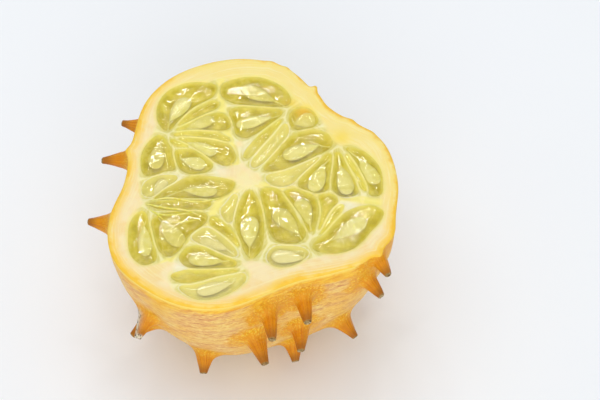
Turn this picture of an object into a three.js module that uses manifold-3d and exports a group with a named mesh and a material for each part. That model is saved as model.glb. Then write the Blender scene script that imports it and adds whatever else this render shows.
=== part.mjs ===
// Half of a horned melon, cut across its middle and standing on its blossom end.
// Millimetres, +Z up. The origin is the middle of the small flat spot that it rests on.
// The fruit grew as one piece, so it is one solid: a lobed bowl-shaped body with warty
// horns round its skin, and a flat cut face in which every seed sac is a shallow recess.

import * as THREE from 'three';
import { mergeVertices } from 'three/addons/utils/BufferGeometryUtils.js';
import Module from 'manifold-3d';

// Driving dimensions.
const HALF_HEIGHT = 48; // resting spot to cut face
const MEAN_RADIUS = 36.8; // of the cut face, all round
const REST_SHARE = 0.28; // radius of the flat resting spot, as a share of the cut face's
const SAC_DEPTH = 0.8; // how far a seed sac lies below the cut face
const WALL = 1; // the parts of a cutting tool that stay outside the body reach this far

// How fine the facets are.
const AROUND = 72;
const LEVELS = 11;
const HORN_SIDES = 9;
const SAC_STEPS = 14;

// The cut face's edge has three lobes: behind, at the right and at the front left.
// Each entry is a direction in degrees, anticlockwise from +X, and a radius.
const RIM = [
  [0, 36.5], [22, 35.5], [50, 31], [62, 33.5], [78, 39], [96, 41], [118, 40.5], [135, 38], [152, 33.5],
  [182, 31.5], [200, 37], [218, 41], [245, 41], [262, 38.5], [290, 32.5], [306, 34.5], [328, 40], [345, 37],
];

// The horns. Each entry is a direction, the height of the root, the length, and how far in
// degrees the horn turns sideways from straight out.
const HORNS = [
  // upper ring
  [325, 45.5, 5.5, -18], [294, 39, 6.5, -6], [278, 38, 7.5, -20], [228, 30, 6.5, 15],
  [196, 43, 6.5, 0], [162, 44, 7.5, 0], [140, 41, 6.5, 0], [106, 35, 7, 8], [71, 34, 6, 0],
  [44, 34, 6.5, -6], [17, 29, 6.5, 5],
  // middle ring
  [322, 37.5, 5.5, -4], [295, 23, 6.5, -12], [272, 27, 7.5, -6], [221, 19.5, 6.5, -4],
  [183, 26, 6.5, 6], [157, 23, 7, -5], [126, 22, 6.5, 10], [88, 21, 7, -8], [58, 20, 6.5, 4], [8, 20, 5.5, 0],
  // lower ring
  [321, 14.5, 6, 0], [296, 9, 5.5, -6], [247, 13.5, 5.5, 16], [200, 9.5, 5.5, -10],
  [168, 11, 5.5, 8], [136, 8.5, 5.5, -6], [100, 10, 5.5, 6], [68, 8.5, 5.5, -8], [30, 12, 6, 4], [0, 9, 5.5, -8],
];

// The seed sacs in the cut face, each a teardrop or a band with its point at one of the six
// hubs on the walls. They are grouped by hub, and each outline is a smooth loop through its points.
const SACS = {
  backLeft: [
    [[-21.5, 17], [-23.5, 20], [-23.5, 25], [-21.5, 29], [-16, 32], [-9.5, 31], [-10.5, 28], [-15.5, 24]],
    [[-18.6, 18], [-16.8, 21], [-13, 24.6], [-9.5, 26], [-8.7, 25], [-13.5, 21.6]],
    [[-19, 16.7], [-14.5, 19.5], [-10, 21.7], [-7.5, 21.7], [-6, 20], [-6, 17.6], [-9, 16.9], [-15, 17]],
    [[-19.5, 15.2], [-17, 16], [-11, 16], [-8, 15], [-5.5, 13], [-10.5, 14.2]],
    [[-18.3, 13.8], [-13, 13.8], [-7, 12.3], [-5, 10], [-4.5, 7], [-6, 5.5], [-10, 7.5], [-14, 11.2]],
    [[-20.2, 13.3], [-18.3, 12.7], [-15.8, 11.3], [-18.3, 11.3]],
    [[-18.8, 9.8], [-15, 10], [-11, 7], [-10, 4.6], [-12, 3.3], [-15.5, 3], [-18.3, 5.5]],
    [[-23.3, 14.5], [-26.5, 10.5], [-27, 5], [-25.8, 2.2], [-22, 3.6], [-19.2, 4.3], [-19.8, 8], [-21.3, 12]],
  ],
  left: [
    [[-26.3, -3.5], [-25.8, -0.5], [-22.5, 1.5], [-18.5, 1.2], [-21.5, -1.7], [-24.5, -4.5]],
    [[-23.5, -5.3], [-19.5, -1.5], [-16, 0.7], [-11.5, 1.3], [-4.5, -0.5], [-4.5, -2], [-9.5, -5], [-16, -5]],
    [[-24.5, -7], [-19, -6], [-10, -6.4], [-11.5, -8.3], [-16.5, -8.5], [-22, -8.2]],
    [[-23.8, -12.5], [-21.5, -10.6], [-11, -10.2], [-12, -13.5], [-15.5, -17], [-17.5, -21], [-20, -22.7], [-22.3, -20],
      [-23.2, -16.5]],
    [[-26.5, -9.7], [-28.7, -12.5], [-29, -19], [-28, -23], [-25.3, -25.2], [-23.1, -24], [-23.7, -19], [-25, -14]],
  ],
  front: [
    [[-3.8, -4.3], [-5.5, -7], [-6.8, -9.2], [-5, -12.8], [-4.2, -9.5]],
    [[-9.3, -11.3], [-6.2, -13.6], [-2.5, -20], [-5.9, -16.6], [-9.3, -13.4]],
    [[-13.7, -17.3], [-10.7, -14.7], [-7.2, -16.9], [-3.3, -22.6], [-6.5, -22.1], [-10.5, -19.6]],
    [[-16.5, -23.5], [-14.5, -20.6], [-11, -20.6], [-6.5, -23], [-3, -25.7], [-8, -26.4], [-14.5, -26]],
    [[-18.3, -29], [-16, -27.8], [-9, -27.4], [-2.5, -27.3], [-8, -29], [-15, -31]],
    [[-16.3, -32.3], [-13, -31.5], [-6, -29.2], [-0.8, -28.6], [-2.8, -32], [-8, -35], [-12, -35.4]],
    [[-0.2, -3.2], [-2.4, -7], [-3.4, -11.5], [-2.8, -15], [-1, -21], [0.8, -23.3], [2.4, -20.5], [2.8, -13],
      [1.8, -7]],
  ],
  frontRight: [
    [[3.2, -2.6], [6, -2.5], [8.7, -5.5], [10.8, -11], [13.2, -17], [11, -18.7], [7.5, -18.7], [5.2, -15.5],
      [4, -9.5]],
    [[8.5, -3.2], [12.5, -3], [16, -5.6], [16.4, -9], [14.8, -15.3], [13, -10.5]],
    [[17.2, -4.8], [20, -4.4], [21.3, -5.8], [19.2, -9.3], [16.7, -15.3], [18, -9.5]],
    [[22.6, -7.5], [21.8, -9.8], [17.2, -16.5], [19.4, -11.4], [21.3, -8.1]],
    [[15.8, -20.5], [19, -15.5], [22.5, -11], [27, -8.3], [31.8, -8.6], [32, -11], [28.5, -16], [25.8, -19.7],
      [20, -21.8]],
    [[4.7, -23.5], [6, -20.8], [10, -20.3], [13.8, -21.8], [11, -25], [6.5, -25.7]],
  ],
  right: [
    [[3.7, 4], [7, 10], [11, 14.8], [14.5, 16.6], [19, 14.8], [19.8, 12], [15.5, 7.8], [10.5, 5.3], [6.5, 3.7]],
    [[4.2, 1.4], [9.5, 3.6], [17.6, 8.2], [13, 3.2], [9, -0.8], [6, -1]],
    [[19.6, 8.7], [15, 4.3], [12, -1], [14.5, -2.7], [18.3, -2.7], [19.3, 1]],
    [[21.5, 9.3], [20.7, 5], [20.4, -1], [22, -4], [26, -3.7], [26.2, -1], [24.7, 3.3], [22.9, 7.3]],
    [[23.9, 8.7], [25.8, 5], [28.7, -2.9], [27.4, -2.2], [26, 2], [24.4, 5.5]],
    [[24.3, 10.6], [28, 9.2], [31.2, 5.2], [32.2, 1], [31.7, -3.8], [30, -4.3], [28.9, -0.5], [27, 5]],
  ],
  back: [
    [[-7.3, 31.5], [-7.3, 28], [-3, 25.4], [4, 24.6], [9, 25.4], [9, 28.2], [6, 31.8], [1, 33.9], [-4, 33.3]],
    [[-5.3, 22.8], [-2.5, 24.2], [3.5, 23.8], [7.6, 22.6], [4, 18.5], [-0.5, 15], [-3, 14.4], [-3.7, 17]],
    [[7.3, 20], [4.5, 17.3], [0, 11.5], [-1.6, 8], [-0.6, 7.9], [3, 12.5], [6, 16.8]],
    [[8.4, 18.6], [5, 14], [1.2, 7.9], [0.2, 4.8], [3, 6.6], [6.8, 12], [8.9, 16.3]],
    [[10.2, 22], [12, 23.7], [14.5, 23.2], [16.3, 19.6], [14.8, 17.6], [11.5, 17], [10, 18.8]],
  ],
};

const radians = THREE.MathUtils.degToRad;

// A smooth closed loop through the given points, as evenly spaced points.
function smoothLoop(points, steps) {
  const corners = points.map(([x, y]) => new THREE.Vector3(x, y, 0));
  return new THREE.CatmullRomCurve3(corners, true, 'centripetal').getSpacedPoints(steps).slice(0, steps);
}

const rim = smoothLoop(
  RIM.map(([direction, radius]) => [radius * Math.cos(radians(direction)), radius * Math.sin(radians(direction))]),
  AROUND,
);

// The body's size at a height, as a share of its size at the cut face. It falls slowly
// below the cut and fast near the resting spot.
function shareAt(height) {
  const down = 1 - height / HALF_HEIGHT;
  return REST_SHARE + (1 - REST_SHARE) * (1 - down ** 1.5) ** 0.435;
}

// The skin's point below a point of the rim: the lobes fade towards a circle on the way down.
function skinPoint(edge, height) {
  const fade = 0.5 * (1 - height / HALF_HEIGHT) ** 1.5;
  const edgeRadius = Math.hypot(edge.x, edge.y);
  const radius = THREE.MathUtils.lerp(edgeRadius, MEAN_RADIUS, fade) * shareAt(height);
  return new THREE.Vector3((edge.x / edgeRadius) * radius, (edge.y / edgeRadius) * radius, height);
}

// The rim's point in a direction, between the loop's own points.
function rimPoint(direction) {
  const ray = new THREE.Vector2(Math.cos(direction), Math.sin(direction));
  for (let i = 0; i < AROUND; i += 1) {
    const here = rim[i];
    const next = rim[(i + 1) % AROUND];
    const before = ray.x * here.y - ray.y * here.x;
    const after = ray.x * next.y - ray.y * next.x;
    const ahead = ray.x * here.x + ray.y * here.y > 0;
    if (ahead && before <= 0 && after > 0) {
      return here.clone().lerp(next, before / (before - after));
    }
  }
  return rim[0].clone();
}

// A closed loft: one ring of points per level, and a flat fan over each end.
function bodyGeometry() {
  const points = [];
  for (let level = 0; level <= LEVELS; level += 1) {
    // Levels crowd together near the resting spot, where the skin curves most.
    const height = HALF_HEIGHT * (1 - Math.cos((Math.PI / 2) * (level / LEVELS)));
    rim.forEach((edge) => points.push(skinPoint(edge, height)));
  }
  const bottomCentre = points.push(new THREE.Vector3(0, 0, 0)) - 1;
  const topCentre = points.push(new THREE.Vector3(0, 0, HALF_HEIGHT)) - 1;
  const faces = [];
  for (let i = 0; i < AROUND; i += 1) {
    const j = (i + 1) % AROUND;
    for (let level = 0; level < LEVELS; level += 1) {
      const low = level * AROUND;
      const high = low + AROUND;
      faces.push(low + i, low + j, high + j, low + i, high + j, high + i);
    }
    faces.push(bottomCentre, j, i);
    faces.push(topCentre, LEVELS * AROUND + i, LEVELS * AROUND + j);
  }
  return new THREE.BufferGeometry().setFromPoints(points).setIndex(faces);
}

// A horn along +Y from its root at the origin: a wide flare, a tapered shaft and a blunt tip.
function hornGeometry(length) {
  const buried = -3;
  const profile = [
    [0, buried], [4, buried], [3.7, 0], [2.5, 0.22 * length], [1.85, 0.5 * length], [1.3, length - 0.5],
    [0.9, length], [0, length],
  ];
  return new THREE.LatheGeometry(profile.map(([x, y]) => new THREE.Vector2(x, y)), HORN_SIDES);
}

// A horn in its place on the skin, pointing straight out and then turned sideways.
function placedHorn([direction, height, length, turn]) {
  const angle = radians(direction);
  const edge = rimPoint(angle);
  const root = skinPoint(edge, height);
  const small = 0.5;
  const above = skinPoint(edge, Math.min(height + small, HALF_HEIGHT));
  const below = skinPoint(edge, height - small);
  const before = skinPoint(rimPoint(angle - radians(small)), height);
  const after = skinPoint(rimPoint(angle + radians(small)), height);
  const outward = after.sub(before).cross(above.sub(below)).normalize();
  outward.applyAxisAngle(new THREE.Vector3(0, 0, 1), radians(turn));
  const horn = hornGeometry(length);
  horn.applyQuaternion(new THREE.Quaternion().setFromUnitVectors(new THREE.Vector3(0, 1, 0), outward));
  return horn.translate(root.x, root.y, root.z);
}

// The tool that cuts a sac's recess into the flat face.
function sacCutter(outline) {
  const shape = new THREE.Shape(smoothLoop(outline, SAC_STEPS).map((p) => new THREE.Vector2(p.x, p.y)));
  const cutter = new THREE.ExtrudeGeometry(shape, { depth: SAC_DEPTH + WALL, bevelEnabled: false });
  return cutter.translate(0, 0, HALF_HEIGHT - SAC_DEPTH);
}

// A slab over the cut face, which trims the flares of the horns next to it.
function slabAboveCut() {
  const width = 4 * MEAN_RADIUS;
  const thickness = MEAN_RADIUS;
  return new THREE.BoxGeometry(width, width, thickness).translate(0, 0, HALF_HEIGHT + thickness / 2);
}

const wasm = await Module();
wasm.setup();

// Turns a closed geometry into a solid that can be joined and cut.
function solid(geometry) {
  const bare = geometry.clone();
  bare.deleteAttribute('normal');
  bare.deleteAttribute('uv');
  const merged = mergeVertices(bare, 1e-4);
  const corners = merged.index.array;
  const kept = [];
  for (let i = 0; i < corners.length; i += 3) {
    const [a, b, c] = corners.slice(i, i + 3);
    if (a !== b && b !== c && c !== a) {
      kept.push(a, b, c);
    }
  }
  return new wasm.Manifold(new wasm.Mesh({
    numProp: 3,
    vertProperties: new Float32Array(merged.attributes.position.array),
    triVerts: new Uint32Array(kept),
  }));
}

function geometryOf(manifold) {
  const mesh = manifold.getMesh();
  const geometry = new THREE.BufferGeometry();
  geometry.setAttribute('position', new THREE.BufferAttribute(mesh.vertProperties, mesh.numProp));
  geometry.setIndex(new THREE.BufferAttribute(mesh.triVerts, 1));
  geometry.computeVertexNormals();
  return geometry;
}

function fruitGeometry() {
  let fruit = solid(bodyGeometry());
  HORNS.forEach((horn) => {
    fruit = fruit.add(solid(placedHorn(horn)));
  });
  fruit = fruit.subtract(solid(slabAboveCut()));
  Object.values(SACS).flat().forEach((outline) => {
    fruit = fruit.subtract(solid(sacCutter(outline)));
  });
  return geometryOf(fruit);
}

const fruit = new THREE.Mesh(
  fruitGeometry(),
  new THREE.MeshStandardMaterial({ color: 0xe6a84a, roughness: 0.45, metalness: 0 }),
);
fruit.name = 'horned_melon_half';

const group = new THREE.Group();
group.add(fruit);

export default group;
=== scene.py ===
import math

import bpy
import numpy as np
from mathutils import Matrix, Vector, noise
from mathutils.geometry import delaunay_2d_cdt


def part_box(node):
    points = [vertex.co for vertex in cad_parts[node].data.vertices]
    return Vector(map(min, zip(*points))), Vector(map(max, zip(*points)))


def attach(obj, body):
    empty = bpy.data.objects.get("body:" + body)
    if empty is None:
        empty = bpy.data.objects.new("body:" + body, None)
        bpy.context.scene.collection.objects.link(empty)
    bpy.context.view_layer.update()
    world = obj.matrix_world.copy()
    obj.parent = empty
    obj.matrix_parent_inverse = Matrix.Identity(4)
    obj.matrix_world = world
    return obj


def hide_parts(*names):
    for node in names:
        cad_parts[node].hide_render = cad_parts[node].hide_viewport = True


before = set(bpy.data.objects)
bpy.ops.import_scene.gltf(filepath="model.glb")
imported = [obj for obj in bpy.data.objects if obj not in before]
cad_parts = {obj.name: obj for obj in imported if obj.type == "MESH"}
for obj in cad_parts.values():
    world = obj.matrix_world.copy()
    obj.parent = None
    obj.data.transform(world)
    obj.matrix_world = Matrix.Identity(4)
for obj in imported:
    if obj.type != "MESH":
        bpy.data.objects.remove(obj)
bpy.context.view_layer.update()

# Half of a horned melon, cut across and standing on its blossom end, in a plain studio.
# Shapes are worked out in millimetres in the CAD part's frame, and turned into metres
# only when a mesh is made. The rim, the cut face's height and the outlines of the seed
# sacs are read from the CAD node.

NODE = "horned_melon_half"
BODY = "root"
MM = 0.001
rng = np.random.default_rng(11)

# ---------------------------------------------------------------- the CAD part's own sizes

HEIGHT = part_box(NODE)[1].z / MM  # resting spot to cut face
REST_SHARE = 0.28  # radius of the resting spot, as a share of the rim's
SAC_FLOOR = HEIGHT - 0.8  # the CAD part's sacs are recesses this deep

# Each horn: direction in degrees, height of the root, length, and how far it turns sideways.
# They are the CAD part's, apart from one: at 17 degrees the CAD's is 0.6 mm longer, and here its
# tip stays behind the rim in the photograph's view.
HORNS = [
    (325, 45.5, 5.5, -18), (294, 39, 6.5, -6), (278, 38, 7.5, -20), (228, 30, 6.5, 15),
    (196, 43, 6.5, 0), (162, 44, 7.5, 0), (140, 41, 6.5, 0), (106, 35, 7, 8), (71, 34, 6, 0),
    (44, 34, 6.5, -6), (17, 29, 5.9, 5),
    (322, 37.5, 5.5, -4), (295, 23, 6.5, -12), (272, 27, 7.5, -6), (221, 19.5, 6.5, -4),
    (183, 26, 6.5, 6), (157, 23, 7, -5), (126, 22, 6.5, 10), (88, 21, 7, -8), (58, 20, 6.5, 4),
    (8, 20, 5.5, 0),
    (321, 14.5, 6, 0), (296, 9, 5.5, -6), (247, 13.5, 5.5, 16), (200, 9.5, 5.5, -10),
    (168, 11, 5.5, 8), (136, 8.5, 5.5, -6), (100, 10, 5.5, 6), (68, 8.5, 5.5, -8),
    (30, 12, 6, 4), (0, 9, 5.5, -8),
]

# ---------------------------------------------------------------- what the CAD part doesn't hold

FLARE = 5.6  # a horn's foot spreads this far over the skin
SCARRED_HORN = 3  # the horn with a torn side, by its place in the list
# Where the cut passed through the feet of other horns, the rim has a low stub:
# direction in degrees, height and half-width in millimetres.
RIM_STUBS = [
    (62.4, 1.7, 1.0), (59, 0.5, 2.2), (38.5, 0.55, 1.6),
    (83, 0.45, 1.4), (77, 0.4, 1.0), (28, 0.3, 1.6),
]
SKIN_STEP = 1.15  # spacing of the skin's points
ROW_STEP = 0.866  # rows of an even triangle grid, as a share of its step
RIM_POINTS = 360
FOOT_SIDES = 36  # points round a horn
FOOT_RINGS = 27  # and rows of them from its tip to its foot's edge
RIM_LIP = 0.35  # the cut edge is rounded off this much
WALL_STEP = 0.8  # spacing of the cut face's points in the outer wall
TISSUE_STEP = 0.42  # and between the sacs
SAC_STEP = 0.5  # and inside them
SAC_EDGE_STEP = 0.36  # spacing of points along a sac's outline
SAC_GROWTH = 0.55  # the jelly spreads this far past the CAD part's outlines where there's room
THINNEST_PARTITION = 0.55  # and leaves at least this between two sacs
EDGE_DROP = 0.2  # a partition rounds over this far before it meets the jelly
CUP_DEPTH = 2.3  # deepest that an opened sac can be
JELLY_SWELL = 0.3  # how far the jelly stands above the cut
TUBE_SIDES = 8  # points round a thread or a strand
LAMP_AIM = Vector((0, 0, 0.03))  # the lamps point at the middle of the fruit, in metres

# The three thick walls between the lobes: from the centre of the fruit to the outer wall.
LOBE_WALLS = [
    [(-1, -0.5), (-3.8, 5.1), (-5.7, 13.2), (-7.7, 23.1), (-8.2, 33.9)],
    [(-1, -0.5), (4.7, -1.3), (8.4, -2.1), (13.9, -3.8), (22, -5), (33, -6.6)],
    [(-1, -0.5), (-7.1, -4.7), (-10.1, -11.9), (-14.2, -15.3), (-19.9, -25), (-23.5, -28)],
]

# Sacs whose jelly is paler than the rest: a point inside each.
PALE_SACS = [(-22.8, -1), (-5, -8.6), (-8.3, -31.9), (9, -22.9), (11, 3.3), (4.8, 11.5), (-8.4, -18.8)]
# Places where the tissue is whitish and wrinkled, or golden: middle and radius.
PALE_SPOTS = [(24.5, -6.9, 3.2), (-7.3, 3.2, 2.6), (-17, -26.5, 2.4), (-0.1, 10.6, 2.6), (-19, 0.5, 2.5)]
GOLDEN_SPOTS = [(13.2, 23.0, 2.6), (10.4, 25.6, 1.8), (22.6, 14.0, 2.4)]


def smoothstep(low, high, value):
    """0 below low, 1 above high, and an S curve between."""
    share = np.clip((value - low) / (high - low), 0.0, 1.0)
    return share * share * (3 - 2 * share)


def smooth_lookup(value, xs, ys):
    """A smooth curve through a few points, read at each value and level past its ends."""
    xs, ys = np.asarray(xs, float), np.asarray(ys, float)
    slopes = np.gradient(ys, xs)
    index = np.clip(np.searchsorted(xs, value) - 1, 0, len(xs) - 2)
    width = xs[index + 1] - xs[index]
    share = np.clip((value - xs[index]) / width, 0, 1)
    s2, s3 = share**2, share**3
    return (
        ys[index] * (2 * s3 - 3 * s2 + 1)
        + slopes[index] * width * (s3 - 2 * s2 + share)
        + ys[index + 1] * (3 * s2 - 2 * s3)
        + slopes[index + 1] * width * (s3 - s2)
    )


def averaged(values):
    """Each value round a closed loop, averaged with the three on either side."""
    return sum(np.roll(values, k) for k in range(-3, 4)) / 7


def wrapped(angle):
    """An angle in radians, brought to between -pi and pi."""
    return (angle + math.pi) % (2 * math.pi) - math.pi


def lumps(points, scale, seed=0.0):
    """Smooth noise between about -1 and 1 at each 3-D point, with lumps about scale apart."""
    shift = Vector((seed * 17.3, seed * 5.1, seed * 9.7))
    return np.array([noise.noise(Vector(p) / scale + shift) for p in points])


def spots(points, places):
    """1 at the middle of each round spot, falling smoothly to 0 past its radius."""
    cover = [np.exp(-(((points - [x, y]) / radius) ** 2).sum(1)) for x, y, radius in places]
    return np.max(cover, 0)


def at_height(flat, height):
    """2-D points as 3-D points, at one height or each at its own."""
    return np.column_stack([flat, np.broadcast_to(height, len(flat))])


def loop_edges(first, count):
    """Index pairs round a closed outline whose points start at first."""
    return [(first + k, first + (k + 1) % count) for k in range(count)]


def closed_curve(points, step):
    """Evenly spaced points along a smooth closed curve through the given ones."""
    before, here = np.roll(points, 1, 0), points
    after, later = np.roll(points, -1, 0), np.roll(points, -2, 0)
    share = np.linspace(0, 1, 8, endpoint=False)[:, None, None]
    dense = 0.5 * (
        2 * here
        + (after - before) * share
        + (2 * before - 5 * here + 4 * after - later) * share**2
        + (3 * here - before - 3 * after + later) * share**3
    )
    dense = dense.transpose(1, 0, 2).reshape(-1, 2)
    dense = np.vstack([dense, dense[:1]])
    along = np.concatenate([[0], np.cumsum(np.hypot(*np.diff(dense, axis=0).T))])
    count = max(12, round(along[-1] / step))
    wanted = np.linspace(0, along[-1], count, endpoint=False)
    return np.stack([np.interp(wanted, along, dense[:, k]) for k in range(2)], 1)


def distance_to_path(points, path):
    """Each 2-D point's distance to an open polyline."""
    path = np.asarray(path, float)
    return distance_to_edges(points, path[:-1], path[1:])


def distance_to_loop(points, loop):
    """Each 2-D point's distance to a closed polyline."""
    return distance_to_edges(points, loop, np.roll(loop, -1, 0))


def distance_to_edges(points, start, end):
    """Each 2-D point's distance to the nearest of many straight edges."""
    edge = end - start
    length2 = (edge**2).sum(1)
    nearest = np.full(len(points), np.inf)
    for first in range(0, len(points), 2000):
        block = points[first : first + 2000, None, :]
        share = np.clip(((block - start) * edge).sum(2) / length2, 0, 1)
        gap = block - (start + share[..., None] * edge)
        nearest[first : first + 2000] = np.sqrt((gap**2).sum(2).min(1))
    return nearest


def inside_loop(points, loop):
    """Which 2-D points lie inside a closed polyline."""
    x, y = points[:, 0][:, None], points[:, 1][:, None]
    start, end = loop, np.roll(loop, -1, 0)
    crosses = (start[:, 1] > y) != (end[:, 1] > y)
    rise = np.where(end[:, 1] == start[:, 1], 1e-12, end[:, 1] - start[:, 1])
    hit = x < (end[:, 0] - start[:, 0]) * (y - start[:, 1]) / rise + start[:, 0]
    return (crosses & hit).sum(1) % 2 == 1


def grid_inside(outline, step):
    """A slightly uneven triangle grid of 2-D points inside an outline, 0.5 mm or more from it."""
    low, high = outline.min(0), outline.max(0)
    rows = np.arange(low[1], high[1], step * ROW_STEP)
    grid = [
        (x + (row % 2) * step / 2, y)
        for row, y in enumerate(rows)
        for x in np.arange(low[0], high[0], step)
    ]
    unevenness = 0.12
    grid = np.array(grid) + rng.uniform(-unevenness, unevenness, (len(grid), 2)) * step
    grid = grid[inside_loop(grid, outline)]
    return grid[distance_to_loop(grid, outline) > 0.5]


def triangulate(points, edges):
    """Triangles over 2-D points that keep the given edges, all anticlockwise."""
    out, _, faces, origins, _, _ = delaunay_2d_cdt(
        [Vector(p) for p in points], edges, [], 0, 1e-6, True
    )
    if len(out) != len(points):
        raise ValueError("two points coincide or two edges cross")
    back = [origin[0] for origin in origins]
    faces = np.array([[back[corner] for corner in face] for face in faces])
    a, b, c = (points[faces[:, k]] for k in range(3))
    area = (b[:, 0] - a[:, 0]) * (c[:, 1] - a[:, 1]) - (b[:, 1] - a[:, 1]) * (c[:, 0] - a[:, 0])
    faces[area < 0] = faces[area < 0][:, [0, 2, 1]]
    return faces


def make_piece(name, points, faces, materials, slots=None):
    """A smooth-shaded mesh object from points in millimetres."""
    mesh = bpy.data.meshes.new(name)
    mesh.from_pydata([tuple(p * MM) for p in points], [], [list(map(int, f)) for f in faces])
    for material in materials:
        mesh.materials.append(material)
    if slots is not None:
        mesh.polygons.foreach_set("material_index", np.asarray(slots, np.int32))
    mesh.polygons.foreach_set("use_smooth", [True] * len(mesh.polygons))
    mesh.update()
    piece = bpy.data.objects.new(name, mesh)
    bpy.context.scene.collection.objects.link(piece)
    return piece


def add_fact(piece, name, values):
    """Stores a number or a vector for each point, for the materials to read."""
    values = np.asarray(values, np.float32)
    kind, field = ("FLOAT", "value") if values.ndim == 1 else ("FLOAT_VECTOR", "vector")
    attribute = piece.data.attributes.new(name, kind, "POINT")
    attribute.data.foreach_set(field, values.ravel())


def joined(parts):
    """Several meshes, each as points and faces, as one."""
    firsts = np.cumsum([0] + [len(points) for points, _ in parts[:-1]])
    faces = [own_faces + first for (_, own_faces), first in zip(parts, firsts)]
    return np.vstack([points for points, _ in parts]), np.vstack(faces)


# ---------------------------------------------------------------- outlines read from the frame


def flat_loops(height):
    """The edge loops of the CAD node's flat areas at a height, as XY points, longest first."""
    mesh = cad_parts[NODE].data
    corners = np.array([v.co for v in mesh.vertices]) / MM
    keys, ids = np.unique(np.round(corners, 2), axis=0, return_inverse=True)
    ids = ids.ravel()
    flat = np.abs(corners[:, 2] - height) < 0.02
    follows = {}
    for polygon in mesh.polygons:
        if all(flat[v] for v in polygon.vertices):
            ring = [ids[v] for v in polygon.vertices]
            for a, b in zip(ring, ring[1:] + ring[:1]):
                if (b, a) in follows:
                    del follows[(b, a)]
                else:
                    follows[(a, b)] = True
    chain = dict(follows.keys())
    loops = []
    while chain:
        start, here = chain.popitem()
        loop = [start]
        while here != start:
            loop.append(here)
            here = chain.pop(here)
        loops.append(keys[loop][:, :2])
    return sorted(loops, key=len, reverse=True)


def rim_radius_table():
    """The body's radius at the cut for each degree, without the feet of the horns beside it."""
    loop = flat_loops(HEIGHT)[0]
    direction = np.degrees(np.arctan2(loop[:, 1], loop[:, 0])) % 360
    radius = np.hypot(loop[:, 0], loop[:, 1])
    high_horns = [horn[0] for horn in HORNS if horn[1] > HEIGHT - FLARE]
    half_foot = 7  # degrees
    kept = np.ones(len(direction), bool)
    for horn in high_horns:
        kept &= np.abs((direction - horn + 180) % 360 - 180) >= half_foot
    # One round of averaging takes out the CAD part's facets.
    return averaged(np.interp(np.arange(360), direction[kept], radius[kept], period=360))


RIM_TABLE = rim_radius_table()
MEAN_RADIUS = RIM_TABLE.mean()


def rim_radius(direction):
    """The rim's radius in a direction in radians."""
    return np.interp(np.degrees(direction), np.arange(360), RIM_TABLE, period=360)


# ---------------------------------------------------------------- the skin as a surface


def share_at(height):
    """The body's size at a height, as a share of its size at the cut face."""
    down = 1 - np.clip(height, 0, HEIGHT) / HEIGHT
    return REST_SHARE + (1 - REST_SHARE) * (1 - down**1.5) ** 0.435


def profile_table():
    """Distance along the skin from the middle of the resting spot, with radius share and height."""
    heights = HEIGHT * np.linspace(0, 1, 2000) ** 2
    shares = np.concatenate([[0], share_at(heights)])
    heights = np.concatenate([[0], heights])
    steps = np.hypot(np.diff(shares) * MEAN_RADIUS, np.diff(heights))
    return np.concatenate([[0], np.cumsum(steps)]), shares, heights


ALONG, SHARES, HEIGHTS = profile_table()
SKIN_LENGTH = ALONG[-1]


def stub_height(along, direction):
    """How far the stubs of cut horns stand out of the skin."""
    total = np.zeros(len(along))
    for stub_direction, height, half_width in RIM_STUBS:
        aside = wrapped(direction - math.radians(stub_direction)) * MEAN_RADIUS / half_width
        below = (SKIN_LENGTH - along) / (2.2 * half_width)
        total += height * np.exp(-(aside**2) - below**2)
    return total


def skin_at(along, direction):
    """Points of the bare skin, from the distance along it and the direction."""
    height = np.interp(along, ALONG, HEIGHTS)
    share = np.interp(along, ALONG, SHARES)
    fade = 0.5 * (1 - height / HEIGHT) ** 1.5
    radius = (rim_radius(direction) * (1 - fade) + MEAN_RADIUS * fade) * share
    radius = radius + stub_height(along, direction)
    return np.stack([radius * np.cos(direction), radius * np.sin(direction), height], 1)


def skin_point(along, direction):
    """One point of the bare skin."""
    return skin_at(np.array([along]), np.array([direction]))[0]


def width_at(along):
    """Mean radius of the skin at a distance along it."""
    return np.interp(along, ALONG, SHARES) * MEAN_RADIUS


# ---------------------------------------------------------------- horns


class Horn:
    """A horn's place on the skin, its direction and its own small differences."""

    def __init__(self, direction, height, length, turn):
        self.direction = math.radians(direction)
        self.along = float(np.interp(height, HEIGHTS[1:], ALONG[1:]))
        # The ring round its blunt tip stands a little past the CAD part's flat one.
        self.length = length + 0.1
        step = 0.4  # millimetres on the skin, to find which way it faces
        ahead, behind, up, down = (
            skin_point(self.along + a, self.direction + b / width_at(self.along))
            for a, b in ((0, step), (0, -step), (step, 0), (-step, 0))
        )
        self.root = skin_point(self.along, self.direction)
        if height > HEIGHT - 1:
            up = self.root
        outward = Vector(np.cross(ahead - behind, up - down)).normalized()
        self.axis = np.array(Matrix.Rotation(math.radians(turn), 3, "Z") @ outward)
        side = np.cross(self.axis, [0, 0, 1.0])
        self.side = side / np.linalg.norm(side)
        self.up = np.cross(self.side, self.axis)
        self.thickness = rng.uniform(0.92, 1.12)
        self.bend = rng.uniform(-0.5, 0.5) * self.side + rng.uniform(-0.7, 0.2) * self.up
        self.phase = rng.uniform(0, 2 * math.pi, 5)
        self.flare = FLARE

    def profile(self, share):
        """Radius and height over the skin, from 0 at the tip's middle to 1 at the foot's edge."""
        length, thick = self.length, self.thickness
        shaft = 1.22
        radii = np.array([0, 0.42, 0.7, 0.86, 0.98, shaft, 1.6, 1.98, 2.5, 3.35, 4.4, FLARE])
        spread = (self.flare - shaft * thick) / (FLARE - shaft)
        radii = np.where(radii > shaft, shaft * thick + (radii - shaft) * spread, radii * thick)
        heights = [0.975, 0.985, 1.0, 0.975, 0.9, 0.75, 0.56, 0.38, 0.2, 0.08, 0.02, 0]
        steps = np.hypot(np.diff(radii), np.diff(heights) * length)
        at = np.concatenate([[0], np.cumsum(steps)]) / steps.sum()
        return smooth_lookup(share, at, radii), smooth_lookup(share, at, heights) * length


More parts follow.
